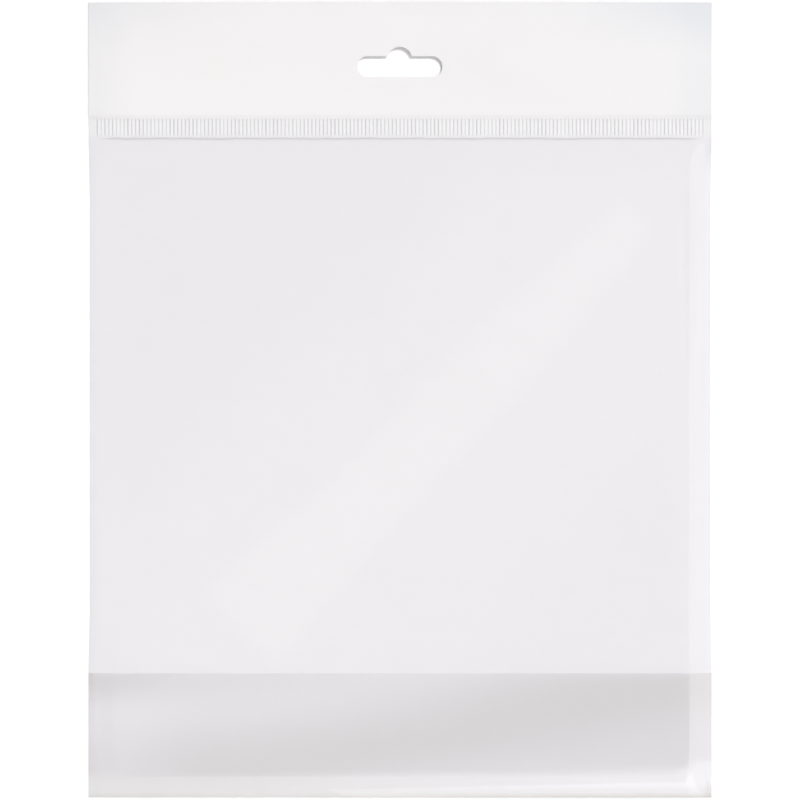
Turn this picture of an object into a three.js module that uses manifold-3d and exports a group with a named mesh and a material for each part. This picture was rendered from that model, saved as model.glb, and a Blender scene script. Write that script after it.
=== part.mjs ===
// A clear self-seal header bag, empty and lying on its back.
// One sheet of film is folded over at the top, welded down both sides and, under the hanging
// header, by a ribbed cross weld. Its tail is the flap, folded up over the front and stuck there.
// Millimetres, +Z up, +Y towards the header, origin on the surface under the bag's middle.
import * as THREE from "three";
import { mergeVertices } from "three/addons/utils/BufferGeometryUtils.js";
import Module from "manifold-3d";

// Bag
const bagWidth = 235;
const bagLength = 300;
const filmThickness = 0.06;
const sideSealWidth = 2.5;

// Header, from the top fold down to the cross weld
const headerLength = 44;
const stripThickness = 0.2;
const stripClearance = 0.2;

// Cross weld and the ribs that its jaws press into it
const weldLength = 6.4;
const weldStep = 0.6;
const weldGap = 0.02;
const ribPitch = 1.445;
const ribBaseWidth = 0.9;
const ribTopWidth = 0.5;
const ribHeight = 0.1;
const ribEndGap = 0.2;
const ribSideGap = 0.7;

// Pocket between the two panels
const pocketGap = 0.1;
const pocketRise = 1.2;
const pocketEdgeRoll = 12;
const pocketEndGap = 1.5;
const pocketStations = 20;

// Flap, folded up over the mouth, and the adhesive that holds it
const flapLength = 47;
const mouthHeight = 8;
const adhesiveWidth = 10;
const adhesiveThickness = 0.1;
const adhesiveEdgeGap = 4;
const adhesiveSideGap = 5;

// Euro slot: a bar with round ends and a round hump on its upper edge
const slotWidth = 32;
const slotBarHeight = 7.9;
const slotHumpRadius = 4.6;
const slotHeight = 11.4;
const slotFromTop = 17.1;
const slotSegments = 12;

// Levels of the film's under sides, and the folds that join them
const headerLevel = filmThickness + stripThickness;
const weldLevel = filmThickness + weldGap;
const frontLevel = filmThickness + pocketGap;
const flapLevel = frontLevel + filmThickness + adhesiveThickness;
const topFoldRadius = (headerLevel + filmThickness) / 2;
const bottomFoldRadius = (flapLevel + filmThickness) / 2;
const foldSegments = 8;

// Stations along the bag
const topEdge = bagLength / 2;
const bottomEdge = -bagLength / 2;
const weldTop = topEdge - headerLength;
const weldBottom = weldTop - weldLength;
const mouthEdge = bottomEdge + mouthHeight;
const flapEdge = bottomEdge + flapLength;
const sealInside = bagWidth / 2 - sideSealWidth;

const clearFilm = new THREE.MeshStandardMaterial({
  color: 0xecebed,
  roughness: 0.12,
  metalness: 0,
  transparent: true,
  opacity: 0.3,
});
const milkyFilm = new THREE.MeshStandardMaterial({
  color: 0xf6f5f6,
  roughness: 0.4,
  metalness: 0,
});
const clearAdhesive = new THREE.MeshStandardMaterial({
  color: 0xe4e3e3,
  roughness: 0.3,
  metalness: 0,
  transparent: true,
  opacity: 0.4,
});

const wasm = await Module();
wasm.setup();

// A closed geometry as a solid. A face that has shrunk to a line is left out.
function solid(geometry) {
  const bare = geometry.clone();
  bare.deleteAttribute("normal");
  bare.deleteAttribute("uv");
  const merged = mergeVertices(bare);
  const corners = merged.index.array;
  const triVerts = [];
  for (let i = 0; i < corners.length; i += 3) {
    const [a, b, c] = corners.slice(i, i + 3);
    if (a !== b && b !== c && c !== a) triVerts.push(a, b, c);
  }
  return new wasm.Manifold(
    new wasm.Mesh({
      numProp: 3,
      vertProperties: merged.attributes.position.array,
      triVerts: new Uint32Array(triVerts),
    }),
  );
}

function geometryOf(body) {
  const { vertProperties, triVerts } = body.getMesh();
  const geometry = new THREE.BufferGeometry();
  geometry.setAttribute("position", new THREE.BufferAttribute(vertProperties, 3));
  geometry.setIndex(new THREE.BufferAttribute(triVerts, 1));
  const flatShaded = geometry.toNonIndexed();
  flatShaded.computeVertexNormals();
  return flatShaded;
}

function namedMesh(name, geometry, material) {
  const mesh = new THREE.Mesh(geometry, material);
  mesh.name = name;
  return mesh;
}

function box(low, high) {
  const size = high.map((value, axis) => value - low[axis]);
  const middle = high.map((value, axis) => (value + low[axis]) / 2);
  return new THREE.BoxGeometry(...size).translate(...middle);
}

// A section drawn along the bag (y, z), carried across it from one x to another.
function acrossBag(section, fromX, toX) {
  const geometry = new THREE.ExtrudeGeometry(section, {
    depth: toX - fromX,
    bevelEnabled: false,
    curveSegments: foldSegments,
  });
  const alongY = new THREE.Vector3(0, 1, 0);
  const alongZ = new THREE.Vector3(0, 0, 1);
  const alongX = new THREE.Vector3(1, 0, 0);
  geometry.applyMatrix4(new THREE.Matrix4().makeBasis(alongY, alongZ, alongX));
  return geometry.translate(fromX, 0, 0);
}

// The front panel from its mouth to the top fold, at a height above its under side.
function frontPanelLine(height) {
  return [
    [mouthEdge, frontLevel],
    [weldBottom - weldStep, frontLevel],
    [weldBottom, weldLevel],
    [weldTop, weldLevel],
    [weldTop + weldStep, headerLevel],
    [topEdge - topFoldRadius, headerLevel],
  ].map(([y, level]) => new THREE.Vector2(y, level + height));
}

function drawLine(path, points) {
  points.forEach((point) => path.lineTo(point.x, point.y));
}

// The whole sheet in section: front panel, top fold, back panel, bottom fold and flap.
function filmSection() {
  const quarter = Math.PI / 2;
  const topFold = [topEdge - topFoldRadius, topFoldRadius];
  const bottomFold = [bottomEdge + bottomFoldRadius, bottomFoldRadius];
  const section = new THREE.Shape();
  section.moveTo(mouthEdge, frontLevel);
  drawLine(section, frontPanelLine(0).slice(1));
  section.absarc(...topFold, topFoldRadius - filmThickness, quarter, -quarter, true);
  section.lineTo(bottomFold[0], filmThickness);
  section.absarc(...bottomFold, bottomFoldRadius - filmThickness, -quarter, quarter, true);
  section.lineTo(flapEdge, flapLevel);
  section.lineTo(flapEdge, flapLevel + filmThickness);
  section.lineTo(bottomFold[0], flapLevel + filmThickness);
  section.absarc(...bottomFold, bottomFoldRadius, quarter, 3 * quarter, false);
  section.lineTo(topFold[0], 0);
  section.absarc(...topFold, topFoldRadius, -quarter, quarter, false);
  drawLine(section, frontPanelLine(filmThickness).reverse());
  return section;
}

// What a side seal fuses: everything between the middles of the two panels, from the mouth up
// into the weld. The header above has no side seals, because its strip runs to both edges.
function sealSection() {
  const middle = filmThickness / 2;
  const sealEnd = (weldTop + weldBottom) / 2;
  const section = new THREE.Shape();
  section.moveTo(mouthEdge, middle);
  drawLine(section, frontPanelLine(middle).filter((point) => point.x < sealEnd));
  section.lineTo(sealEnd, weldLevel + middle);
  section.lineTo(sealEnd, middle);
  return section;
}

// The ribs stand side by side across the weld, as one comb carried along the bag.
function ribComb() {
  const surface = weldLevel + filmThickness;
  const root = surface - filmThickness / 2;
  const foot = surface - filmThickness / 4;
  const reach = sealInside - ribSideGap;
  const count = Math.floor((2 * reach) / ribPitch);
  const comb = new THREE.Shape();
  comb.moveTo(-reach, root);
  for (let i = 0; i < count; i += 1) {
    const x = (i - (count - 1) / 2) * ribPitch;
    comb.lineTo(x - ribBaseWidth / 2, foot);
    comb.lineTo(x - ribTopWidth / 2, surface + ribHeight);
    comb.lineTo(x + ribTopWidth / 2, surface + ribHeight);
    comb.lineTo(x + ribBaseWidth / 2, foot);
  }
  comb.lineTo(reach, root);
  const depth = weldLength - 2 * ribEndGap;
  const geometry = new THREE.ExtrudeGeometry(comb, { depth, bevelEnabled: false });
  geometry.rotateX(Math.PI / 2);
  return geometry.translate(0, weldTop - ribEndGap, 0);
}

// A low pillow over the pocket. Its top rises from the given level in a quarter sine along
// every edge, and its stations crowd towards the seals, where the film bends most.
function pillow(bottom, top) {
  const halfWidth = sealInside;
  const low = flapEdge + pocketEndGap;
  const high = weldBottom - weldStep - pocketEndGap;
  const halfLength = (high - low) / 2;
  const size = [2, 2, top - bottom];
  const geometry = new THREE.BoxGeometry(...size, pocketStations, pocketStations, 1);
  const points = geometry.getAttribute("position");
  const ramp = (distance) => Math.sin((Math.min(distance / pocketEdgeRoll, 1) * Math.PI) / 2);
  for (let i = 0; i < points.count; i += 1) {
    const x = halfWidth * Math.sin((points.getX(i) * Math.PI) / 2);
    const y = halfLength * Math.sin((points.getY(i) * Math.PI) / 2);
    const rise = pocketRise * ramp(halfWidth - Math.abs(x)) * ramp(halfLength - Math.abs(y));
    const isTop = points.getZ(i) > 0;
    points.setXYZ(i, x, y + (low + high) / 2, isTop ? top + rise : bottom);
  }
  return geometry;
}

// Euro slot in plan, and the cutter that punches it through every layer of the header.
function slotCutter() {
  const barTop = topEdge - slotFromTop - slotHeight + slotBarHeight;
  const endRadius = slotBarHeight / 2;
  const barMiddle = barTop - endRadius;
  const endX = slotWidth / 2 - endRadius;
  const humpMiddle = topEdge - slotFromTop - slotHumpRadius;
  const humpAngle = Math.asin((barTop - humpMiddle) / slotHumpRadius);
  const quarter = Math.PI / 2;
  const outline = new THREE.Shape();
  outline.moveTo(-endX, barMiddle - endRadius);
  outline.lineTo(endX, barMiddle - endRadius);
  outline.absarc(endX, barMiddle, endRadius, -quarter, quarter, false);
  outline.absarc(0, humpMiddle, slotHumpRadius, humpAngle, Math.PI - humpAngle, false);
  outline.absarc(-endX, barMiddle, endRadius, quarter, 3 * quarter, false);
  const overshoot = 1;
  const depth = headerLevel + filmThickness + 2 * overshoot;
  const geometry = new THREE.ExtrudeGeometry(outline, {
    depth,
    bevelEnabled: false,
    curveSegments: slotSegments,
  });
  return solid(geometry.translate(0, 0, -overshoot));
}

function bagFilm(slot) {
  const halfWidth = bagWidth / 2;
  const middle = filmThickness / 2;
  const sheet = solid(acrossBag(filmSection(), -halfWidth, halfWidth));
  const leftSeal = solid(acrossBag(sealSection(), -halfWidth, -sealInside));
  const rightSeal = solid(acrossBag(sealSection(), sealInside, halfWidth));
  const weld = solid(
    box([-halfWidth, weldBottom, middle], [halfWidth, weldTop, weldLevel + middle]),
  );
  const swollenFront = solid(pillow(frontLevel + middle, frontLevel + filmThickness));
  const pocket = solid(pillow(filmThickness + pocketGap / 2, frontLevel));
  const film = sheet
    .add(leftSeal)
    .add(rightSeal)
    .add(weld)
    .add(solid(ribComb()))
    .add(swollenFront)
    .subtract(pocket)
    .subtract(slot);
  return namedMesh("bag_film", geometryOf(film), clearFilm);
}

// The stiffening strip fills the header from edge to edge, between the weld and the top fold.
function headerStrip(slot) {
  const halfWidth = bagWidth / 2;
  const low = weldTop + weldStep + stripClearance;
  const high = topEdge - topFoldRadius - stripClearance;
  const strip = box([-halfWidth, low, filmThickness], [halfWidth, high, headerLevel]);
  return namedMesh("header_strip", geometryOf(solid(strip).subtract(slot)), milkyFilm);
}

// The adhesive runs just inside the flap's free edge, between the flap and the front panel.
function adhesiveStrip() {
  const width = bagWidth - 2 * adhesiveSideGap;
  const geometry = new THREE.BoxGeometry(width, adhesiveWidth, adhesiveThickness);
  const strip = namedMesh("adhesive_strip", geometry, clearAdhesive);
  const middle = flapEdge - adhesiveEdgeGap - adhesiveWidth / 2;
  strip.position.set(0, middle, flapLevel - adhesiveThickness / 2);
  return strip;
}

const slot = slotCutter();
const bag = new THREE.Group();
bag.name = "self_seal_bag";
bag.add(bagFilm(slot), headerStrip(slot), adhesiveStrip());

export default bag;
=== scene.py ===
"""Dresses a clear self-seal header bag that lies flat on a white table, seen from straight above."""

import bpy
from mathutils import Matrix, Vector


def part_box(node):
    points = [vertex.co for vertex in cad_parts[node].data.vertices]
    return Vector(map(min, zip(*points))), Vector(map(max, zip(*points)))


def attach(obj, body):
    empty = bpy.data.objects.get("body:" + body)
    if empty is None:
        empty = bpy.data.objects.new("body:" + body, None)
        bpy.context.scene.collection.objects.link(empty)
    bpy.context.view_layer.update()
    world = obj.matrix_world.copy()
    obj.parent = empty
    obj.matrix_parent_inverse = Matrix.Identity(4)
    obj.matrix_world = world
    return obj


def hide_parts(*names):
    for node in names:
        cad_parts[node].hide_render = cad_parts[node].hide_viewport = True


bl_info = {
    "name": "Self-seal header bag",
    "version": (1, 0, 0),
    "blender": (4, 5, 0),
    "location": "3D View > Sidebar > Header bag",
    "description": "Builds a clear film bag with a hanging header, a ribbed weld and a stuck-down flap",
    "category": "Add Mesh",
}

import math

import bpy
import numpy as np
from bpy.props import FloatProperty, FloatVectorProperty, PointerProperty
from mathutils import Matrix, Vector

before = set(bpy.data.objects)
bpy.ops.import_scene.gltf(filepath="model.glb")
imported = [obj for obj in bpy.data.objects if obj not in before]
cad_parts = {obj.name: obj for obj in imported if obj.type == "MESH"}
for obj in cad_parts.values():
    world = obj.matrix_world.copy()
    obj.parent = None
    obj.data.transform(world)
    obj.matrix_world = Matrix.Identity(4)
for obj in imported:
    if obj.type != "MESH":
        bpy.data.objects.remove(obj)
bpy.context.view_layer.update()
FILM_LOW, FILM_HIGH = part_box("bag_film")
STRIP_LOW, STRIP_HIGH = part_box("header_strip")
ADHESIVE_LOW, ADHESIVE_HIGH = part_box("adhesive_strip")
MM = 0.001
WELD_FADE = 0.35 * MM
# Width of the painted sheen bands on the flap.
SHEEN_BAND = 23.5 * MM
SHARP_ANGLE = 40


def to_linear(hex_colour):
    """An sRGB hex colour as linear red, green and blue."""
    levels = np.array([int(hex_colour[i : i + 2], 16) for i in (1, 3, 5)]) / 255
    return tuple(np.where(levels <= 0.04045, levels / 12.92, ((levels + 0.055) / 1.055) ** 2.4))


def length(name, description, millimetres):
    """A length property, its default given in millimetres."""
    return FloatProperty(
        name=name, description=description, default=millimetres * MM, precision=5, unit="LENGTH"
    )


def colour(name, description, hex_colour):
    """A colour property, its default given as an sRGB hex value."""
    return FloatVectorProperty(
        name=name,
        description=description,
        default=to_linear(hex_colour),
        size=3,
        min=0,
        max=1,
        subtype="COLOR",
    )


class FilmSettings(bpy.types.PropertyGroup):
    """Sizes of the folded film sheet and its welds."""

    gauge: length("Gauge", "Thickness of the film", 0.06)
    layer_gap: length("Layer gap", "Between the middles of two layers that are pressed together", 0.08)
    table_gap: length("Table gap", "From zero height to the middle of the lowest layer", 0.05)
    seal_width: length("Seal width", "Width of the flat seal along each side", 2.5)
    header_length: length("Header length", "From the top fold to the ribbed weld", 44)
    header_lift: length("Header lift", "How far the header's top edge stands off the table", 1.9)
    weld_length: length("Weld length", "Length of the ribbed weld along the bag", 6.4)
    rib_pitch: length("Rib pitch", "From one rib of the weld to the next", 1.445)
    rib_height: length("Rib height", "How far the ribs stand up", 0.14)
    rib_margin: length("Rib margin", "Between the side seals and the outermost ribs", 0.7)
    puff_height: length("Puff height", "How far the front panel stands above the back one", 1.8)
    side_roll: length("Side roll", "Width over which the front panel falls to the side seals", 8)
    seam_lift: length("Seam lift", "How far the side seals' inner edges stand off the table", 0.45)
    weld_roll: length("Weld roll", "Length over which the front panel falls to the weld", 14)
    bottom_roll: length("Bottom roll", "Length over which the bag falls to its bottom fold", 11)
    ripple_height: length("Ripple height", "Height of the slack waves in the front panel", 0.07)
    crease_height: length("Crease height", "Height of the crease just under the weld", 0.14)
    pull_in: length("Pull-in", "How far the swollen body draws its sides in", 0.45)
    flap_length: length("Flap length", "From the bottom fold to the flap's free edge", 47)
    flap_gap: length("Flap gap", "Between the middles of the flap and the front panel", 0.16)
    flap_ripple: length("Flap ripple", "Height of the waves in the flap", 0.3)
    mouth_height: length("Mouth height", "From the bottom fold to the front panel's free edge", 8)


class SlotSettings(bpy.types.PropertyGroup):
    """Sizes of the euro slot punched through the header."""

    width: length("Width", "Width of the bar over its round ends", 32)
    bar_height: length("Bar height", "Height of the bar", 7.9)
    hump_radius: length("Hump radius", "Radius of the hump on the bar's upper edge", 4.6)
    height: length("Height", "Height from the bar's lower edge to the hump's crown", 11.4)
    from_top: length("From top", "From the top fold to the hump's crown", 17.1)


class FinishSettings(bpy.types.PropertyGroup):
    """Colours of the film, the header strip and the adhesive."""

    clear_film: colour("Clear film", "White paper seen through two layers of film", "#F3F1F4")
    # This frosted colour also paints shade along the crease under the weld.
    frosted_and_shaded_film: colour("Frosted film", "The same where hot jaws frosted the film", "#B5B3B5")
    # This hazy colour also paints the flap's darker sheen bands, shade along its left rim and fold, and
    # a shadow line where it turns round.
    hazy_and_shaded_film: colour("Hazy film", "The same where the flap is hazy", "#B9B4AA")
    strip_shade: colour("Strip shade", "The darker clouds of the header strip", "#FCFAF9")
    strip_light: colour("Strip light", "The lighter clouds of the header strip", "#FEFCFC")
    # This thin colour also paints shade in the strip's upper corners, along its top and towards the
    # right.
    thin_and_shaded_strip: colour("Thin strip", "The header strip where it is drawn thin", "#EBEDF0")
    adhesive: colour("Adhesive", "The faint haze of the adhesive", "#EDEDEE")


class StageSettings(bpy.types.PropertyGroup):
    """Table, camera and light."""

    view_width: length("View width", "Width of the picture at the bag", 301.65)
    camera_height: length("Camera height", "From the table to the camera", 1200)
    camera_offset: length("Camera offset", "How far below the bag's middle the camera stands", 0.13)
    floor_width: length("Floor width", "Width and length of the table", 8000)
    floor_gap: length("Floor gap", "From the table up to zero height", 0.02)
    floor_colour: colour("Floor colour", "Colour of the table", "#F7F7F7")


def add_node(tree, kind, inputs=None, **settings):
    """Adds a node with its settings, and gives each named input a value or the socket that feeds it."""
    node = tree.nodes.new(kind)
    for name, value in settings.items():
        setattr(node, name, value)
    for name, value in (inputs or {}).items():
        if isinstance(value, bpy.types.NodeSocket):
            tree.links.new(value, node.inputs[name])
        else:
            node.inputs[name].default_value = value
    return node


def new_material(name):
    """An empty material, its node tree and its output node."""
    material = bpy.data.materials.new(name)
    material.use_nodes = True
    material.node_tree.nodes.clear()
    return material, material.node_tree, add_node(material.node_tree, "ShaderNodeOutputMaterial")


def grid_faces(rows):
    """Quads between neighbouring rows of a grid of vertex numbers."""
    corners = [rows[:-1, :-1], rows[:-1, 1:], rows[1:, 1:], rows[1:, :-1]]
    return np.stack(corners, axis=-1).reshape(-1, 4)


def bridge_faces(few, many, picks, few_first):
    """Polygons between a sparse row and a dense one: sparse vertex i faces dense vertex picks[i]."""
    steps = np.diff(picks)
    groups = []
    for step in np.unique(steps):
        cell = np.flatnonzero(steps == step)
        run = many[picks[cell][:, None] + np.arange(step + 1)]
        ends = np.stack([few[cell + 1], few[cell]], axis=1)
        polygons = np.concatenate([ends, run], axis=1)
        groups.append(polygons[:, ::-1] if few_first else polygons)
    return groups


def closed_shell(lower, upper):
    """Points and polygons of a flat shell: a lower and an upper grid, joined round their rims."""
    size = lower.shape[0] * lower.shape[1]
    under = np.arange(size).reshape(lower.shape[:2])
    rim = np.concatenate([under[0, :-1], under[:-1, -1], under[-1, :0:-1], under[:0:-1, 0]])
    after = np.roll(rim, -1)
    walls = np.stack([rim, after, after + size, rim + size], axis=1)
    points = np.concatenate([lower.reshape(-1, 3), upper.reshape(-1, 3)])
    return points, [grid_faces(under)[:, ::-1], grid_faces(under + size), walls]


def put_mesh(name, points, groups, smooth=True, marks=None):
    """A linked object whose mesh has these points and the polygons of each group of equal-sided ones.
    Each mark is a named value for every point, for the material to read. It is kept at the polygons'
    corners, so that a cut through a polygon fills it in."""
    mesh = bpy.data.meshes.new(name)
    totals = np.concatenate([np.full(len(group), group.shape[1]) for group in groups])
    corners = np.concatenate([group.ravel() for group in groups])
    mesh.vertices.add(len(points))
    mesh.vertices.foreach_set("co", points.astype(np.float32).ravel())
    mesh.loops.add(len(corners))
    mesh.loops.foreach_set("vertex_index", corners.astype(np.int32))
    mesh.polygons.add(len(totals))
    mesh.polygons.foreach_set("loop_start", (np.cumsum(totals) - totals).astype(np.int32))
    mesh.polygons.foreach_set("use_smooth", np.full(len(totals), smooth))
    mesh.update(calc_edges=True)
    mesh.validate()
    for mark, values in (marks or {}).items():
        layer = mesh.attributes.new(mark, "FLOAT", "CORNER")
        layer.data.foreach_set("value", values[corners].astype(np.float32))
    piece = bpy.data.objects.new(name, mesh)
    bpy.context.scene.collection.objects.link(piece)
    return piece


def finish_mesh(piece, thickness=None, cutter=None):
    """Thickens a sheet about its middle, punches it with a cutter and keeps the result as its mesh."""
    if thickness is not None:
        wall = piece.modifiers.new("Wall", "SOLIDIFY")
        wall.thickness = thickness
        wall.offset = 0
    if cutter is not None:
        punch = piece.modifiers.new("Punch", "BOOLEAN")
        punch.operation = "DIFFERENCE"
        punch.solver = "EXACT"
        punch.object = cutter
    graph = bpy.context.evaluated_depsgraph_get()
    made = bpy.data.meshes.new_from_object(piece.evaluated_get(graph))
    rough = piece.data
    piece.modifiers.clear()
    piece.data = made
    made.name = piece.name
    bpy.data.meshes.remove(rough)
    made.set_sharp_from_angle(angle=math.radians(SHARP_ANGLE))


def quarter_sine(distance, reach):
    """Rises from 0 to 1 over a reach: steepest at the start and level at the end."""
    return np.sin(np.clip(distance / reach, 0, 1) * np.pi / 2)


def smooth_step(distance, reach):
    """Rises from 0 to 1 over a reach, level at both ends."""
    share = np.clip(distance / reach, 0, 1)
    return share * share * (3 - 2 * share)


def waves(x, y, seed, count, shortest, longest, lean, spread):
    """Mean of sine waves that run within a spread of one lean, with seeded lengths and phases."""
    draw = np.random.default_rng(seed)
    turns = draw.normal(lean, spread, count)
    lengths = draw.uniform(shortest, longest, count)
    phases = draw.uniform(0, 2 * np.pi, count)
    total = np.zeros(np.broadcast(x, y).shape)
    for turn, wave, phase in zip(turns, lengths, phases):
        total += np.sin(2 * np.pi * (x * np.cos(turn) + y * np.sin(turn)) / wave + phase)
    return total / count


class BagShape:
    """Where the middle of each layer of film lies over a point (x, y) of the table."""

    def __init__(self, film):
        self.film = film
        self.half = FILM_HIGH.x
        self.inside = self.half - film.seal_width
        self.top = FILM_HIGH.y
        self.bottom = FILM_LOW.y
        self.weld_top = self.top - film.header_length
        self.weld_bottom = self.weld_top - film.weld_length
        self.mouth = self.bottom + film.mouth_height
        self.flap_edge = self.bottom + film.flap_length
        self.strip_gap = STRIP_HIGH.z - STRIP_LOW.z + film.gauge + 2 * (film.layer_gap - film.gauge)
        self.rib_count = int(2 * (self.inside - film.rib_margin) / film.rib_pitch)
        self.rib_reach = self.rib_count * film.rib_pitch / 2

    def ribs(self, x, y):
        """A flat-topped cosine wave across the weld, faded in at the weld's two edges."""
        film = self.film
        first = -self.rib_reach + film.rib_pitch / 2
        tooth = np.clip(0.5 + 0.8 * np.cos(2 * np.pi * (x - first) / film.rib_pitch), 0, 1)
        edge = np.minimum(y - self.weld_bottom, self.weld_top - y)
        across = (np.abs(x) < self.rib_reach) * smooth_step(edge - 0.1 * MM, WELD_FADE)
        return film.rib_height * tooth * across

    def in_weld(self, y):
        """1 within the ribbed weld, faded out at its edges."""
        return smooth_step(np.minimum(y - self.weld_bottom, self.weld_top - y), WELD_FADE)

    def frost_and_shade(self, x, y, front_crease_shade):
        """How far the film greys: heat frosted it a little all over the weld and more in stripes
        between the ribs, each a little stronger or weaker; it is darker along the cut sides; and on the
        front layer a painted shade darkens a line along the crease under the weld."""
        film = self.film
        place = (x + self.rib_reach) / film.rib_pitch
        strength = np.random.default_rng(31).uniform(0.34, 0.62, self.rib_count + 2)
        rib = np.clip(np.floor(place + 0.5).astype(int), 0, self.rib_count + 1)
        groove = np.clip((np.cos(2 * np.pi * place) - 0.3) / 0.5, 0, 1)
        ribbed = np.abs(x) < self.rib_reach + 0.4 * film.rib_pitch
        stripes = strength[rib] * groove * ribbed * self.in_weld(y)
        inward = np.minimum(y - self.weld_bottom, self.weld_top + 0.2 * MM - y)
        pressed = np.where(ribbed, 0.05, 0.14) * smooth_step(inward, WELD_FADE)
        below = self.weld_bottom - y
        # Painted shade: a dark line along the crease under the weld, on the front layer only.
        line = np.exp(-(((below - self.crease_path(x)) / (0.36 * MM)) ** 2))
        ends = smooth_step(self.inside - np.abs(x), 8 * MM)
        sides = 0.05 * smooth_step(np.abs(x) - self.half + 2.4 * MM, 1.2 * MM) * (below > 0)
        return stripes + pressed + front_crease_shade * line * ends + sides

    def thin_and_shade(self, x, y):
        """How far the header strip is darkened and cooled: at its ends, where it is drawn thin and
        shaded, and as painted shade in its upper corners, a little along its top, and more at the
        right."""
        # Painted shade: darker upper corners, a little along the top and more towards the right; the
        # ends are drawn thin and shaded.
        end = smooth_step(np.abs(x) - 98 * MM, 18 * MM)
        corner = smooth_step(y - 128 * MM, 22 * MM) * smooth_step(np.abs(x) / self.half - 0.45, 0.5)
        top = smooth_step(y - 141 * MM, 8 * MM)
        right = smooth_step(x + 60 * MM, 120 * MM)
        return 0.3 * end + np.where(x < 0, 0.3, 0.62) * corner + 0.1 * top + 0.18 * right

    def fused(self, y):
        """How many of a layer's two faces touch the next layer with no air between: one in the header,
        and not quite that in the ribbed weld."""
        header = smooth_step(y - self.weld_top + WELD_FADE, WELD_FADE)
        return np.maximum(0.85 * self.in_weld(y), header)

    def flap_end(self, x):
        """Rises from 0 to 1 in the flap's left end."""
        return smooth_step(-70 * MM - x, 40 * MM)

    def sheen_bands(self, x, y):
        """Slanted cosine bands of painted sheen on the flap, from 0 to 1: high in the darker bands and
        low in the lighter ones between. In the left end the upper band falls off faster and the lower
        one fades."""
        left = self.flap_end(x)
        above = y + 128.5 * MM - 0.15 * x - 0.36 * x * x
        lower = above < SHEEN_BAND
        turn = np.where(lower, above / SHEEN_BAND, 1 + (above / SHEEN_BAND - 1) / (1 - 0.45 * left))
        return (0.5 + 0.5 * np.cos(np.pi * turn)) * (1 - 0.4 * left * lower)

    def flap_sheen(self, x, y):
        """Painted sheen and highlights on the flap, given as faces that touch the layer under it, which
        makes the film lighter: between the darker slanted bands, less towards the right, and painted
        highlights along the right side and in the right end of the rim."""
        right = smooth_step(x, 80 * MM)
        band_sheen = 0.55 * (1 - self.sheen_bands(x, y)) * (1 - 0.7 * right)
        # Painted highlights along the right side and in the right end of the rim.
        side = 0.5 * smooth_step(x - 107 * MM, 5 * MM)
        in_highlight_rim = smooth_step(self.rim(x) - 2 * MM - y, 2 * MM)
        rim_highlight = 0.45 * in_highlight_rim * smooth_step(x + 20 * MM, 100 * MM)
        return np.maximum.reduce([band_sheen, side, rim_highlight])

    def rim(self, x):
        """The upper edge of the lighter rim along the bottom, partly real contact at the mouth and
        partly painted highlight: slanted, and turned up at its right.
        """
        slant = 0.022 * np.maximum(x, -40 * MM)
        return self.mouth + 2.3 * MM + slant + 3 * MM * smooth_step(x - 103 * MM, 9 * MM)

    def contact_and_sheen(self, x, y):
        """How many faces of the front panel touch another layer, which makes it lighter: under the
        flap, as much as the flap's painted sheen, and both along the mouth, where flap and back panel
        press on it, out to the painted highlight's slanted edge."""
        under = self.flap_sheen(x, y) * (y < self.flap_edge)
        return np.maximum(under, 2 * smooth_step(self.rim(x) - y, 3 * MM))

    def haze(self, x, y):
        """How far the flap greys: a little all over and along its stuck edge; as painted sheen, more in
        the darker slanted bands and less at its left end; as painted shade, in its left part under the
        mouth and along the fold; and most where the film turns round, a painted shadow line. Under the
        rim's painted highlight the banded greying fades out."""
        below = smooth_step(self.rim(x) - 1 * MM - y, 4 * MM)
        left = np.clip((70 * MM - x) / (165 * MM), 0, 1)
        left_rim_shade = 0.32 * left * smooth_step(self.mouth + 1 * MM - y, 1.5 * MM)
        fold = 0.22 * smooth_step(self.bottom + 5 * MM - y, 2.5 * MM)
        # Painted shadow: a dark line where the film turns round the bottom fold.
        turn = 0.55 * smooth_step(self.bottom + 0.75 * MM - y, 0.4 * MM) * (1 - 0.8 * left)
        stuck = 0.055 * smooth_step(y - self.flap_edge + 16 * MM, 10 * MM)
        banded_haze_and_sheen = 0.09 - 0.07 * self.flap_end(x) + 0.16 * self.sheen_bands(x, y) + stuck
        return np.maximum.reduce([banded_haze_and_sheen * (1 - below), left_rim_shade, fold, turn])

    def crease_path(self, x):
        """How far under the weld the crease wanders."""
        return 1.2 * MM + 0.22 * MM * waves(x, 0 * x, 5, 6, 7 * MM, 45 * MM, 0, 0)

    def seam(self, x, y):
        """The swollen pocket lifts its side seals: they slope up from the bag's edge, and the back
        panel falls to the table again inside them."""
        film = self.film
        slope = quarter_sine(self.half - np.abs(x), film.seal_width)
        fall = 1 - smooth_step(self.inside - np.abs(x), 10 * MM)
        ends = np.minimum(self.weld_bottom - y, y - self.bottom)
        return film.seam_lift * slope * fall * smooth_step(ends, 18 * MM)

    def back(self, x, y):
        """The back panel lies on the table, and the stiff header, bowed a little, lifts it towards the
        top fold."""
        film = self.film
        bow = film.header_lift * (1 - (x / self.half) ** 2)
        lift = bow * smooth_step(y - self.weld_top, film.header_length)
        return film.table_gap + lift + self.ribs(x, y) + self.seam(x, y)

    def puff(self, x, y):
        """A pillow: quarter sines from the side seals, the weld and the bottom fold, multiplied."""
        film = self.film
        wobble = 0.35 * MM * waves(x, 0 * y, 3, 5, 9 * MM, 34 * MM, 0, 0)
        sides = quarter_sine(self.inside - np.abs(x), film.side_roll)
        upper = quarter_sine(self.weld_bottom - 0.4 * MM + wobble - y, film.weld_roll)
        lower = 0.3 + 0.7 * quarter_sine(y - self.bottom, film.bottom_roll)
        return film.puff_height * sides * upper * lower

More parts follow.
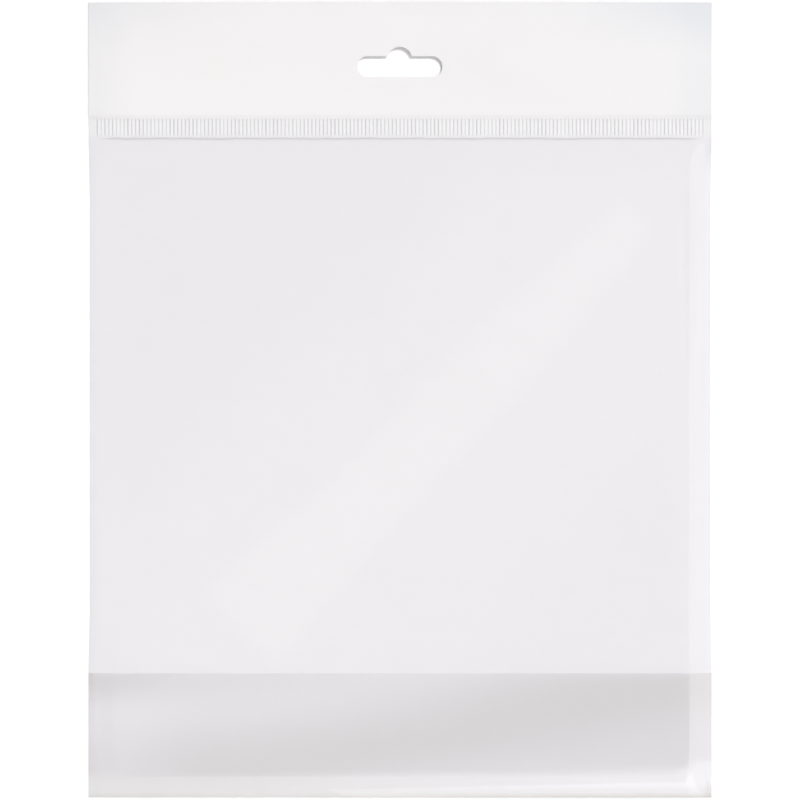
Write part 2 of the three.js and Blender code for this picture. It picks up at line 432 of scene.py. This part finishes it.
    def slack(self, x, y):
        """Long shallow waves that lean across the front panel and die out at its edges."""
        film = self.film
        sides = quarter_sine(self.inside - np.abs(x), 25 * MM)
        upper = quarter_sine(self.weld_bottom - y, 30 * MM)
        long_waves = waves(x, y, 11, 6, 55 * MM, 130 * MM, np.radians(-45), 0.35)
        return film.ripple_height * long_waves * sides * upper

    def crease(self, x, y):
        """A thin ridge that wanders along the weld's lower edge, with short puckers hanging from it."""
        film = self.film
        below = self.weld_bottom - y
        ridge = np.exp(-(((below - self.crease_path(x)) / (0.38 * MM)) ** 2))
        puckers = 0.35 * waves(x, 0 * y, 7, 7, 5 * MM, 22 * MM, 0, 0) * np.exp(-below / (4 * MM))
        inner = quarter_sine(self.inside - np.abs(x), 5 * MM)
        return film.crease_height * (ridge + puckers * smooth_step(below, 1 * MM)) * inner * (below > 0)

    def front(self, x, y):
        """The front panel: swollen over the pocket, pressed down at the welds, flat over the strip."""
        film = self.film
        pocket = self.puff(x, y) + self.slack(x, y) + self.crease(x, y)
        opened = quarter_sine(y - self.weld_top - 0.1 * MM, 0.6 * MM)
        over_strip = (self.strip_gap - film.layer_gap) * opened
        return self.back(x, y) + film.layer_gap + np.where(y > self.weld_top, over_strip, pocket)

    def strip(self, x, y, side):
        """A face of the header strip, side -1 the lower and 1 the upper: squeezed thin between the
        layers at the weld, the strip opens to its full thickness over 1.5 mm."""
        film = self.film
        opened = smooth_step(y - self.weld_top - 0.1 * MM, 1.5 * MM)
        middle = film.layer_gap / 2 + (self.strip_gap - film.layer_gap) / 2 * opened
        squeezed = 0.005 * MM
        reach = squeezed + ((STRIP_HIGH.z - STRIP_LOW.z) / 2 - squeezed) * opened
        return self.back(x, y) + middle + side * reach

    def flap(self, x, y):
        """The flap follows the front panel, with leaning waves of its own away from its stuck edge."""
        film = self.film
        free = smooth_step(ADHESIVE_LOW.y - y, 15 * MM) * smooth_step(y - self.bottom, 14 * MM)
        calm = quarter_sine(self.half - np.abs(x), 20 * MM)
        lean = 0.5 + 0.5 * waves(x, y, 23, 4, 70 * MM, 150 * MM, np.radians(-65), 0.3)
        lift = film.flap_ripple * lean * free * calm
        return self.front(x, y) + film.flap_gap + lift

    def place(self, x, y, z):
        """Grid points, the sides drawn in a little between the weld and the flap."""
        ends = np.minimum(self.weld_bottom - y, y - self.flap_edge)
        narrow = 1 - self.film.pull_in / self.half * smooth_step(ends, 25 * MM)
        return np.stack(np.broadcast_arrays(x * narrow, y, z), axis=-1)

    def laid(self, layer, columns, rows):
        """Rows of a layer across these columns."""
        x, y = np.meshgrid(columns, rows)
        return self.place(x, y, layer(x, y))

    def rolled(self, upper, lower, columns, edge, way, turns):
        """Half a turn of film round a fold: in each column a half circle as wide as the layers' gap."""
        x = np.broadcast_to(columns, (1, len(columns)))
        radius = (upper(x, edge) - lower(x, edge)) / 2
        centre = edge - way * radius
        middle = (upper(x, centre) + lower(x, centre)) / 2
        radius = (upper(x, centre) - lower(x, centre)) / 2
        angle = np.radians(turns)[:, None]
        return self.place(x, centre + way * radius * np.cos(angle), middle + radius * np.sin(angle))


def weld_columns(shape):
    """Dense columns for the ribs, and which of them the rest of the sheet keeps: every rib near the
    sides and every second rib between."""
    film = shape.film
    cuts = 8
    near_ribs = 8
    dense = np.linspace(-shape.rib_reach, shape.rib_reach, shape.rib_count * cuts + 1)
    outer = np.array([0.25, 0.45, 0.7]) * film.rib_margin
    edge = np.linspace(shape.inside, shape.half, 4)
    side = np.concatenate([shape.rib_reach + outer, edge])
    steps = np.arange(0, shape.rib_count + 1)
    near = np.minimum(steps, shape.rib_count - steps) <= near_ribs
    kept = steps[near | ((steps - near_ribs) % 2 == 0)] * cuts
    flank = np.arange(len(side))
    picks = np.concatenate([flank, len(side) + kept, len(side) + len(dense) + flank])
    return np.concatenate([-side[::-1], dense, side]), picks


def film_sheet(film):
    """One sheet carried along its folded path: front panel, header, top fold, back panel, bottom fold
    and flap. Each part is a grid across the bag, dense in the weld, and neighbouring grids share
    polygons."""
    shape = BagShape(film)
    dense, picks = weld_columns(shape)
    sparse = dense[picks]
    weld_shares = np.array([0, 0.03, 0.07, 0.3, 0.7, 0.93, 0.97, 1])
    weld = shape.weld_bottom + film.weld_length * weld_shares
    step = 0.15 * MM
    front = np.concatenate([
        np.linspace(shape.mouth, shape.weld_bottom - 12 * MM, 92, endpoint=False),
        np.linspace(shape.weld_bottom - 12 * MM, shape.weld_bottom - 2.4 * MM, 9, endpoint=False),
        np.linspace(shape.weld_bottom - 2.4 * MM, shape.weld_bottom - step, 12),
    ])
    header = np.concatenate([
        np.linspace(shape.weld_top + step, shape.weld_top + 1 * MM, 6, endpoint=False),
        np.linspace(shape.weld_top + 1 * MM, shape.top - 0.5 * MM, 14),
    ])
    back = np.linspace(shape.weld_bottom - step, shape.bottom + 2 * MM, 46)
    flap = np.concatenate([
        np.linspace(shape.bottom + 0.8 * MM, shape.bottom + 14 * MM, 15, endpoint=False),
        np.linspace(shape.bottom + 14 * MM, shape.flap_edge, 18),
    ])
    grids = [
        shape.laid(shape.front, sparse, front),
        shape.laid(shape.front, dense, weld),
        shape.laid(shape.front, sparse, header),
        shape.rolled(shape.front, shape.back, sparse, shape.top, 1, np.linspace(90, -90, 9)),
        shape.laid(shape.back, sparse, header[::-1]),
        shape.laid(shape.back, dense, weld[::-1]),
        shape.laid(shape.back, sparse, back),
        shape.rolled(shape.flap, shape.back, sparse, shape.bottom, -1, np.linspace(-90, 90, 9)),
        shape.laid(shape.flap, sparse, flap),
    ]
    sizes = [grid.shape[0] * grid.shape[1] for grid in grids]
    starts = np.cumsum([0] + sizes)
    numbers = [
        start + np.arange(size).reshape(grid.shape[:2])
        for start, size, grid in zip(starts, sizes, grids)
    ]
    groups = [grid_faces(rows) for rows in numbers]
    for one, two in zip(numbers[:-1], numbers[1:]):
        last, first = one[-1], two[0]
        if len(last) == len(first):
            groups.append(grid_faces(np.stack([last, first])))
        elif len(last) < len(first):
            groups += bridge_faces(last, first, picks, True)
        else:
            groups += bridge_faces(first, last, picks, False)
    points = np.concatenate([grid.reshape(-1, 3) for grid in grids])
    number = np.arange(len(points))
    x, y = points[:, 0], points[:, 1]
    weld_start, fold_start, flap_start = starts[[1, 7, 8]]
    on_front = number < weld_start
    on_tail = number >= fold_start
    on_flap = number >= flap_start
    touching_and_sheen = np.maximum(shape.fused(y), shape.contact_and_sheen(x, y) * on_front)
    # Besides real frosting, haziness and contact between layers, these marks carry painted light: shade
    # along the crease under the weld, the flap's sheen bands, shade along its left rim and fold, a
    # shadow line where it turns round, and highlights at its right side and bottom rim.
    marks = {
        "frost_and_shade": shape.frost_and_shade(x, y, on_front) * ~on_tail,
        "haze": shape.haze(x, y) * on_tail,
        "fused": np.where(on_flap, shape.flap_sheen(x, y), touching_and_sheen),
    }
    return put_mesh("clear_film_sheet", points, groups, marks=marks)


def slot_cutter(slot):
    """A prism on the euro slot's outline: three arcs joined by straight lines, run past every layer."""
    end = slot.bar_height / 2
    end_x = slot.width / 2 - end
    crown = FILM_HIGH.y - slot.from_top
    bar_middle = crown - slot.height + end
    hump_middle = crown - slot.hump_radius
    hump_angle = math.degrees(math.asin((bar_middle + end - hump_middle) / slot.hump_radius))
    arcs = [
        (end_x, bar_middle, end, -90, 90),
        (0, hump_middle, slot.hump_radius, hump_angle, 180 - hump_angle),
        (-end_x, bar_middle, end, 90, 270),
    ]
    turns = [np.radians(np.linspace(start, stop, 33)) for *_, start, stop in arcs]
    outline = np.concatenate([
        np.stack([x + radius * np.cos(turn), y + radius * np.sin(turn)], axis=1)
        for (x, y, radius, *_), turn in zip(arcs, turns)
    ])
    count = len(outline)
    levels = [np.column_stack([outline, np.full(count, z)]) for z in (-3 * MM, 6 * MM)]
    ring = np.arange(count)
    after = np.roll(ring, -1)
    walls = np.stack([ring, after, after + count, ring + count], axis=1)
    caps = [ring[::-1][None, :], (ring + count)[None, :]]
    cutter = put_mesh("slot_cutter", np.concatenate(levels), [walls] + caps, smooth=False)
    cutter.hide_render = True
    return cutter


def punch_slot(piece, slot, thickness=None):
    """Thickens a sheet where a thickness is given, and punches the euro slot through it."""
    cutter = slot_cutter(slot)
    finish_mesh(piece, thickness, cutter)
    bpy.data.objects.remove(cutter)


def dress(piece, material, node):
    """Gives a piece its material and body, and hides the part that it stands for."""
    piece.data.materials.clear()
    piece.data.materials.append(material)
    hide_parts(node)
    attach(piece, "root")


def clear_polypropylene(finish):
    """Oriented polypropylene film, cast clear and calendered glossy: it mirrors a few hundredths of the
    light at each face, more at a glancing angle, and less where its faces touch another layer. The hot
    jaws leave grey frosted stripes, and the flap is a little hazy. The same greying also paints shade
    along the crease under the weld, the flap's darker sheen bands, shade along its left rim and fold
    and a shadow line where it turns round, and the lightening where faces touch also paints the flap's
    lighter sheen and highlights at its right side and bottom rim. The colours are those of white paper
    under two layers of film, which the light crosses through eight faces, so each face takes the eighth
    root."""
    material, tree, output = new_material("clear_polypropylene_film")
    # These marks carry painted shade, sheen and highlights as well as frosting, haziness and contact.
    frost_and_shade = add_node(tree, "ShaderNodeAttribute", attribute_name="frost_and_shade")
    fused = add_node(tree, "ShaderNodeAttribute", attribute_name="fused")
    haze = add_node(tree, "ShaderNodeAttribute", attribute_name="haze")
    # The share that a face of index 1.49 mirrors when it is seen straight on
    head_on = 0.0387
    facing = add_node(tree, "ShaderNodeLayerWeight", {"Blend": 0.5})
    glance = add_node(tree, "ShaderNodeMath", {0: facing.outputs["Facing"], 1: 5.0}, operation="POWER")
    mirror = add_node(
        tree,
        "ShaderNodeMath",
        {0: glance.outputs[0], 1: 1 - head_on, 2: head_on},
        operation="MULTIPLY_ADD",
    )
    # More faces in contact mean less mirror and less tint, so lighter film; on and under the flap this
    # paints sheen and highlights.
    share = add_node(
        tree,
        "ShaderNodeMapRange",
        {"Value": fused.outputs["Fac"], "From Max": 2.0, "To Min": 1.0, "To Max": 0.0},
    )
    faces = add_node(
        tree, "ShaderNodeMath", {0: mirror.outputs[0], 1: share.outputs[0]}, operation="MULTIPLY"
    )
    seen_colours = finish.clear_film, finish.frosted_and_shaded_film, finish.hazy_and_shaded_film
    clear_face, frosted_and_shaded_face, hazy_and_shaded_face = (np.power(tuple(seen), 1 / 8) for seen in seen_colours)
    even = add_node(
        tree,
        "ShaderNodeMix",
        {"Factor": share.outputs[0], 6: (1, 1, 1, 1), 7: (*clear_face, 1)},
        data_type="RGBA",
    )
    pressed = add_node(
        tree,
        "ShaderNodeMix",
        {"Factor": frost_and_shade.outputs["Fac"], 6: even.outputs[2], 7: (*frosted_and_shaded_face, 1)},
        data_type="RGBA",
    )
    tint = add_node(
        tree,
        "ShaderNodeMix",
        {"Factor": haze.outputs["Fac"], 6: pressed.outputs[2], 7: (*hazy_and_shaded_face, 1)},
        data_type="RGBA",
    )
    clear = add_node(tree, "ShaderNodeBsdfTransparent", {"Color": tint.outputs[2]})
    gloss = add_node(tree, "ShaderNodeBsdfGlossy", {"Color": (1, 1, 1, 1), "Roughness": 0.024})
    surface = add_node(
        tree, "ShaderNodeMixShader", {0: faces.outputs[0], 1: clear.outputs[0], 2: gloss.outputs[0]}
    )
    tree.links.new(surface.outputs[0], output.inputs["Surface"])
    return material


def milky_polypropylene(finish):
    """Cast polypropylene filled with chalk: a milky white with a soft satin face and clouds about 6 mm
    across, cooler and darker towards its ends, where it is drawn thin and shaded, with painted shade in
    its upper corners, along its top and towards the right."""
    material, tree, output = new_material("milky_polypropylene_strip")
    place = add_node(tree, "ShaderNodeTexCoord")
    cloud = add_node(
        tree,
        "ShaderNodeTexNoise",
        {"Vector": place.outputs["Object"], "Scale": 1 / (6 * MM), "Detail": 3.0},
    )
    white = add_node(
        tree,
        "ShaderNodeMix",
        {"Factor": cloud.outputs[0], 6: (*finish.strip_shade, 1), 7: (*finish.strip_light, 1)},
        data_type="RGBA",
    )
    # Painted shade: this mark darkens and cools the strip's upper corners, top and right side, as well
    # as its thin ends.
    thin_and_shade = add_node(tree, "ShaderNodeAttribute", attribute_name="thin_and_shade")
    milky = add_node(
        tree,
        "ShaderNodeMix",
        {"Factor": thin_and_shade.outputs["Fac"], 6: white.outputs[2], 7: (*finish.thin_and_shaded_strip, 1)},
        data_type="RGBA",
    )
    body = add_node(
        tree,
        "ShaderNodeBsdfPrincipled",
        {"Base Color": milky.outputs[2], "Roughness": 0.4, "IOR": 1.49, "Alpha": 0.95},
    )
    tree.links.new(body.outputs[0], output.inputs["Surface"])
    return material


def clear_acrylic_adhesive(finish):
    """Pressure-sensitive acrylic adhesive: a soft clear layer, all but unseen between two films."""
    material, tree, output = new_material("clear_acrylic_adhesive")
    clear = add_node(tree, "ShaderNodeBsdfTransparent", {"Color": (*to_linear("#FFFFFF"), 1)})
    haze = add_node(tree, "ShaderNodeBsdfDiffuse", {"Color": (*finish.adhesive, 1)})
    surface = add_node(tree, "ShaderNodeMixShader", {0: 0.003, 1: clear.outputs[0], 2: haze.outputs[0]})
    tree.links.new(surface.outputs[0], output.inputs["Surface"])
    return material


def white_table(stage):
    """A matt white table that takes soft shadows and shows pure white to the camera where it is lit."""
    material, tree, output = new_material("white_table")
    path = add_node(tree, "ShaderNodeLightPath")
    seen = add_node(
        tree,
        "ShaderNodeMath",
        {0: path.outputs["Is Camera Ray"], 1: path.outputs["Is Glossy Ray"]},
        operation="MAXIMUM",
    )
    shown = add_node(
        tree,
        "ShaderNodeMath",
        {0: seen.outputs[0], 1: path.outputs["Is Transmission Ray"]},
        operation="MAXIMUM",
    )
    added = 0.1
    top_up = add_node(tree, "ShaderNodeMath", {0: shown.outputs[0], 1: added}, operation="MULTIPLY")
    matt = add_node(tree, "ShaderNodeBsdfDiffuse", {"Color": (*stage.floor_colour, 1)})
    glow = add_node(tree, "ShaderNodeEmission", {"Strength": top_up.outputs[0]})
    both = add_node(tree, "ShaderNodeAddShader", {0: matt.outputs[0], 1: glow.outputs[0]})
    tree.links.new(both.outputs[0], output.inputs["Surface"])
    return material


class BAG_OT_film(bpy.types.Operator):
    """Build the folded and welded film sheet"""

    bl_idname = "bag.film"
    bl_label = "Film sheet"

    def execute(self, context):
        film = context.scene.bag_film
        sheet = film_sheet(film)
        punch_slot(sheet, context.scene.bag_slot, film.gauge)
        dress(sheet, clear_polypropylene(context.scene.bag_finish), "bag_film")
        return {"FINISHED"}


class BAG_OT_header_strip(bpy.types.Operator):
    """Build the milky stiffening strip inside the header"""

    bl_idname = "bag.header_strip"
    bl_label = "Header strip"

    def execute(self, context):
        shape = BagShape(context.scene.bag_film)
        columns = np.linspace(STRIP_LOW.x, STRIP_HIGH.x, 116)
        rows = np.concatenate([
            np.linspace(shape.weld_top - 0.1 * MM, shape.weld_top + 1.7 * MM, 10, endpoint=False),
            np.linspace(shape.weld_top + 1.7 * MM, STRIP_HIGH.y, 24),
        ])
        lower, upper = (
            shape.laid(lambda x, y: shape.strip(x, y, side), columns, rows) for side in (-1, 1)
        )
        points, groups = closed_shell(lower, upper)
        marks = {"thin_and_shade": shape.thin_and_shade(points[:, 0], points[:, 1])}
        strip = put_mesh("milky_header_strip", points, groups, marks=marks)
        punch_slot(strip, context.scene.bag_slot)
        dress(strip, milky_polypropylene(context.scene.bag_finish), "header_strip")
        return {"FINISHED"}


class BAG_OT_adhesive(bpy.types.Operator):
    """Build the adhesive strip between the flap and the front panel"""

    bl_idname = "bag.adhesive"
    bl_label = "Adhesive strip"

    def execute(self, context):
        film = context.scene.bag_film
        shape = BagShape(film)
        columns = np.linspace(ADHESIVE_LOW.x, ADHESIVE_HIGH.x, 100)
        rows = np.linspace(ADHESIVE_LOW.y, ADHESIVE_HIGH.y, 9)
        middle = shape.laid(lambda x, y: (shape.front(x, y) + shape.flap(x, y)) / 2, columns, rows)
        numbers = np.arange(middle.shape[0] * middle.shape[1]).reshape(middle.shape[:2])
        strip = put_mesh("flap_adhesive", middle.reshape(-1, 3), [grid_faces(numbers)])
        clearance = 0.02 * MM
        finish_mesh(strip, film.flap_gap - film.gauge - 2 * clearance)
        material = clear_acrylic_adhesive(context.scene.bag_finish)
        dress(strip, material, "adhesive_strip")
        return {"FINISHED"}


def add_lamp(name, place, turn, size, brightness, hex_colour="#FFFFFF"):
    """A flat soft lamp whose power follows from its size and from how bright its face is."""
    lamp = bpy.data.lights.new(name, "AREA")
    lamp.color = to_linear(hex_colour)
    lamp.shape = "RECTANGLE"
    lamp.size, lamp.size_y = size
    lamp.energy = brightness * math.pi * lamp.size * lamp.size_y
    holder = bpy.data.objects.new(name, lamp)
    holder.location = place
    holder.rotation_euler = turn
    bpy.context.scene.collection.objects.link(holder)


def aimed_lamp(name, place, size, brightness):
    """A soft lamp that faces the bag."""
    turn = (-Vector(place)).to_track_quat("-Z", "Y").to_euler()
    add_lamp(name, place, turn, size, brightness)


def strip_lamp(name, start, end, width, brightness, hex_colour):
    """A narrow lamp from one point to another, its face turned down."""
    start, end = Vector(start), Vector(end)
    along = (end - start).normalized()
    side = Vector((-along.y, along.x, 0)).normalized()
    turn = Matrix((along, side, along.cross(side))).transposed().to_euler()
    add_lamp(name, (start + end) / 2, turn, ((end - start).length, width), brightness, hex_colour)


def studio_world(scene):
    """A studio that is bright near the horizon and dim overhead, with a soft band of light leaning
    across the middle. The camera sees it as plain white."""
    world = bpy.data.worlds.new("Studio")
    scene.world = world
    world.use_nodes = True
    tree = world.node_tree
    tree.nodes.clear()
    output = add_node(tree, "ShaderNodeOutputWorld")
    direction = add_node(tree, "ShaderNodeTexCoord")
    axes = add_node(tree, "ShaderNodeSeparateXYZ", {0: direction.outputs["Generated"]})
    height = add_node(
        tree,
        "ShaderNodeMapRange",
        {"Value": axes.outputs["Z"], "From Min": 0.1, "From Max": 0.95, "To Min": 0.8, "To Max": 0.096},
    )
    across = add_node(
        tree, "ShaderNodeMath", {0: axes.outputs["X"], 1: axes.outputs["Y"]}, operation="SUBTRACT"
    )
    off_band = add_node(tree, "ShaderNodeMath", {0: across.outputs[0], 1: 0.02}, operation="SUBTRACT")
    apart = add_node(tree, "ShaderNodeMath", {0: off_band.outputs[0]}, operation="ABSOLUTE")
    band = add_node(
        tree,
        "ShaderNodeMapRange",
        {"Value": apart.outputs[0], "From Min": 0.04, "From Max": 0.11, "To Min": 0.12, "To Max": 0.0},
        interpolation_type="SMOOTHSTEP",
    )
    light = add_node(
        tree, "ShaderNodeMath", {0: height.outputs[0], 1: band.outputs[0]}, operation="ADD"
    )
    path = add_node(tree, "ShaderNodeLightPath")
    level = add_node(
        tree, "ShaderNodeMix", {"Factor": path.outputs["Is Camera Ray"], 2: light.outputs[0], 3: 1.0}
    )
    white = (*to_linear("#FFFFFF"), 1)
    sky = add_node(tree, "ShaderNodeBackground", {"Color": white, "Strength": level.outputs[0]})
    tree.links.new(sky.outputs[0], output.inputs["Surface"])


def overhead_camera(scene, stage):
    """A camera over the bag that looks straight down, as wide as the view width at the table."""
    camera = bpy.data.cameras.new("Camera")
    camera.lens = camera.sensor_width * stage.camera_height / stage.view_width
    holder = bpy.data.objects.new("Camera", camera)
    scene.collection.objects.link(holder)
    holder.location = (0, -stage.camera_offset, stage.camera_height)
    scene.camera = holder


class BAG_OT_stage(bpy.types.Operator):
    """Set the table, the light and the camera"""

    bl_idname = "bag.stage"
    bl_label = "Stage"

    def execute(self, context):
        stage = context.scene.bag_stage
        count = 9
        line = np.linspace(-stage.floor_width / 2, stage.floor_width / 2, count)
        x, y = np.meshgrid(line, line)
        points = np.stack([x, y, np.full_like(x, -stage.floor_gap)], axis=-1).reshape(-1, 3)
        numbers = np.arange(count * count).reshape(count, count)
        floor = put_mesh("table", points, [grid_faces(numbers)])
        floor.data.materials.append(white_table(stage))

        aimed_lamp("key", (7.8, 7.8, 11.4), (3.6, 3.6), 47.6)
        aimed_lamp("right", (1.1, -0.2, 1.5), (1.8, 1.3), 0.55)
        aimed_lamp("near", (0.6, -1.2, 1.5), (1.1, 1.1), 0.9)
        aimed_lamp("fill", (-1.6, -1.6, 1.3), (1.6, 1.6), 1.2)
        strip_lamp("streak", (-0.106, -0.15, 0.9), (0.353, 0.27, 3.48), 0.063, 0.17, "#FFFFC0")

        studio_world(context.scene)
        overhead_camera(context.scene, stage)
        context.scene.view_settings.view_transform = "Standard"
        context.scene.cycles.transparent_max_bounces = 64
        return {"FINISHED"}


class BAG_PT_panel(bpy.types.Panel):
    """Lists the pieces of the bag, its sizes and its colours"""

    bl_idname = "BAG_PT_panel"
    bl_label = "Header bag"
    bl_space_type = "VIEW_3D"
    bl_region_type = "UI"
    bl_category = "Header bag"

    def draw(self, context):
        for operator in OPERATORS:
            self.layout.operator(operator.bl_idname)
        for group, settings in SETTINGS.items():
            box = self.layout.box()
            for name in settings.__annotations__:
                box.prop(getattr(context.scene, group), name)


SETTINGS = {
    "bag_film": FilmSettings,
    "bag_slot": SlotSettings,
    "bag_finish": FinishSettings,
    "bag_stage": StageSettings,
}
OPERATORS = (BAG_OT_stage, BAG_OT_film, BAG_OT_header_strip, BAG_OT_adhesive)


def register():
    for name, settings in SETTINGS.items():
        bpy.utils.register_class(settings)
        setattr(bpy.types.Scene, name, PointerProperty(type=settings))
    for cls in (*OPERATORS, BAG_PT_panel):
        bpy.utils.register_class(cls)


def unregister():
    for cls in (BAG_PT_panel, *reversed(OPERATORS)):
        bpy.utils.unregister_class(cls)
    for name, settings in SETTINGS.items():
        delattr(bpy.types.Scene, name)
        bpy.utils.unregister_class(settings)


def main():
    register()
    bpy.ops.bag.stage()
    bpy.ops.bag.film()
    bpy.ops.bag.header_strip()
    bpy.ops.bag.adhesive()


if __name__ == "__main__":
    main()
